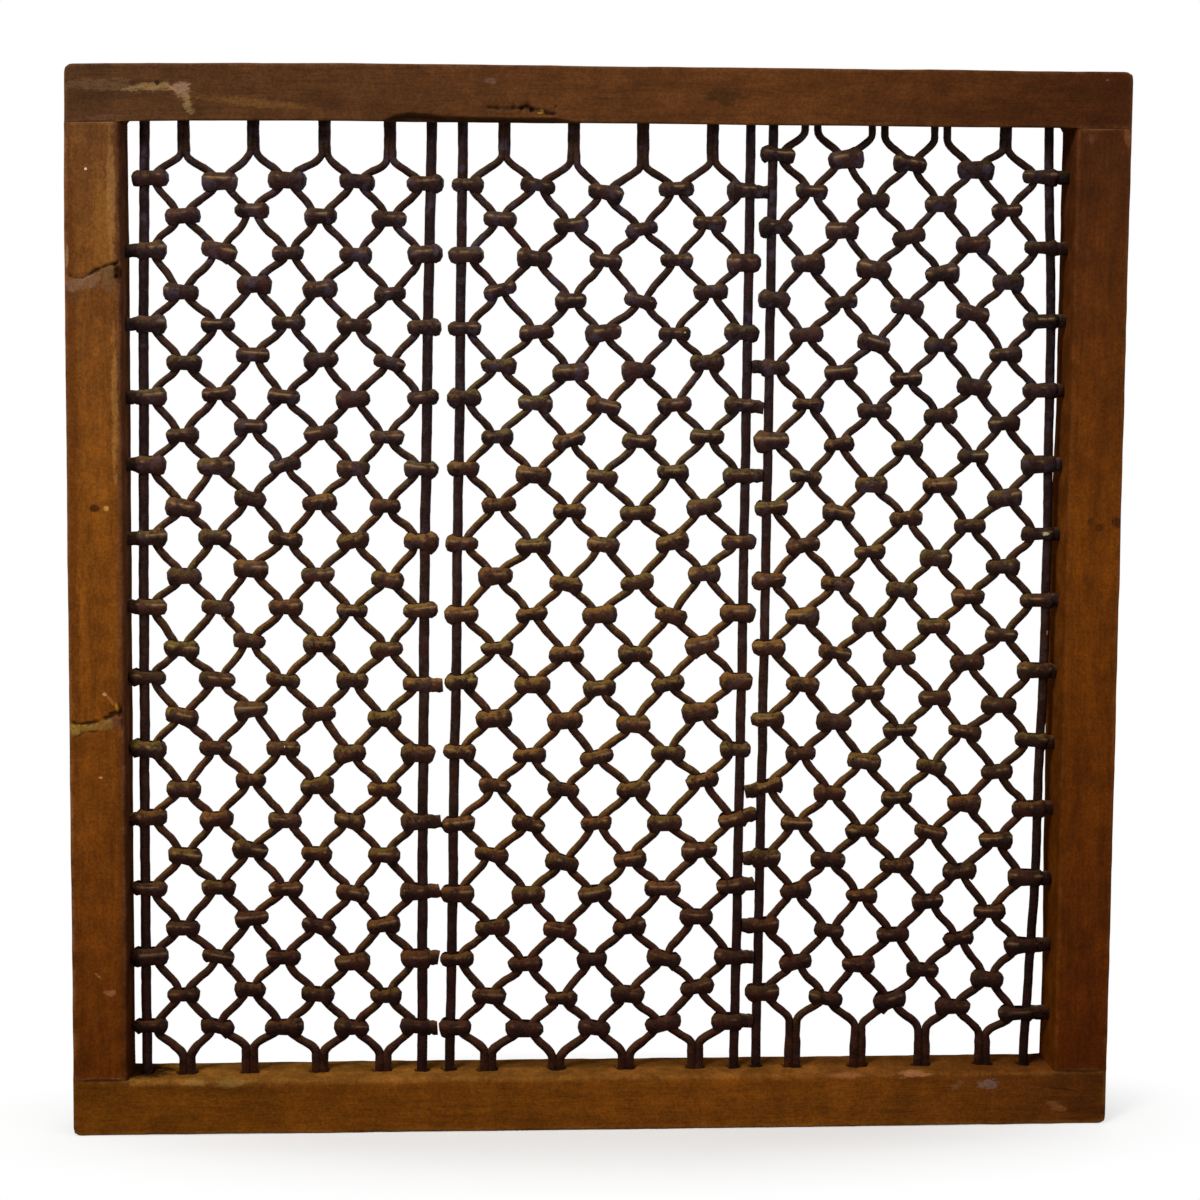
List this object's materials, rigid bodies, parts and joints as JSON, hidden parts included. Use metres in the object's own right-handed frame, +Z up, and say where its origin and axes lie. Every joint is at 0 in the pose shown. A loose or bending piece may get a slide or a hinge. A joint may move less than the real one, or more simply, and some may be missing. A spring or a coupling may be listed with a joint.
{
  "type": "jali window screen",
  "caption": "Square wooden frame holding a wrought-iron jali grille: zigzag wires joined at each bend by wrapped collars, with upright side bars.",
  "frame": {"origin": "middle of the frame's underside, half way through its depth", "axes": "+X to the right seen from the front, +Y from the front face to the back face, +Z up"},
  "size_m": [0.914, 0.05, 0.93],
  "materials": {
    "frame_wood": "old oiled hardwood, worn at the edges",
    "wrought_iron": "dark hand-forged iron with brown and ochre rust"
  },
  "bodies": {
    "root": {"bottom_rail": "frame_wood", "left_panel_lattice_collars": "wrought_iron", "left_panel_left_bar": "wrought_iron", "left_panel_left_collars": "wrought_iron", "left_panel_right_bar": "wrought_iron", "left_panel_right_collars": "wrought_iron", "left_panel_wire_1": "wrought_iron", "left_panel_wire_2": "wrought_iron", "left_panel_wire_3": "wrought_iron", "left_panel_wire_4": "wrought_iron", "left_panel_wire_5": "wrought_iron", "left_panel_wire_6": "wrought_iron", "left_panel_wire_7": "wrought_iron", "left_panel_wire_8": "wrought_iron", "left_stile": "frame_wood", "middle_panel_lattice_collars": "wrought_iron", "middle_panel_left_bar": "wrought_iron", "middle_panel_left_collars": "wrought_iron", "middle_panel_right_bar": "wrought_iron", "middle_panel_right_collars": "wrought_iron", "middle_panel_wire_1": "wrought_iron", "middle_panel_wire_2": "wrought_iron", "middle_panel_wire_3": "wrought_iron", "middle_panel_wire_4": "wrought_iron", "middle_panel_wire_5": "wrought_iron", "middle_panel_wire_6": "wrought_iron", "middle_panel_wire_7": "wrought_iron", "middle_panel_wire_8": "wrought_iron", "right_panel_lattice_collars": "wrought_iron", "right_panel_left_bar": "wrought_iron", "right_panel_left_collars": "wrought_iron", "right_panel_right_bar": "wrought_iron", "right_panel_right_collars": "wrought_iron", "right_panel_wire_1": "wrought_iron", "right_panel_wire_2": "wrought_iron", "right_panel_wire_3": "wrought_iron", "right_panel_wire_4": "wrought_iron", "right_panel_wire_5": "wrought_iron", "right_panel_wire_6": "wrought_iron", "right_panel_wire_7": "wrought_iron", "right_panel_wire_8": "wrought_iron", "right_stile": "frame_wood", "top_rail": "frame_wood"}
  },
  "joints": []
}
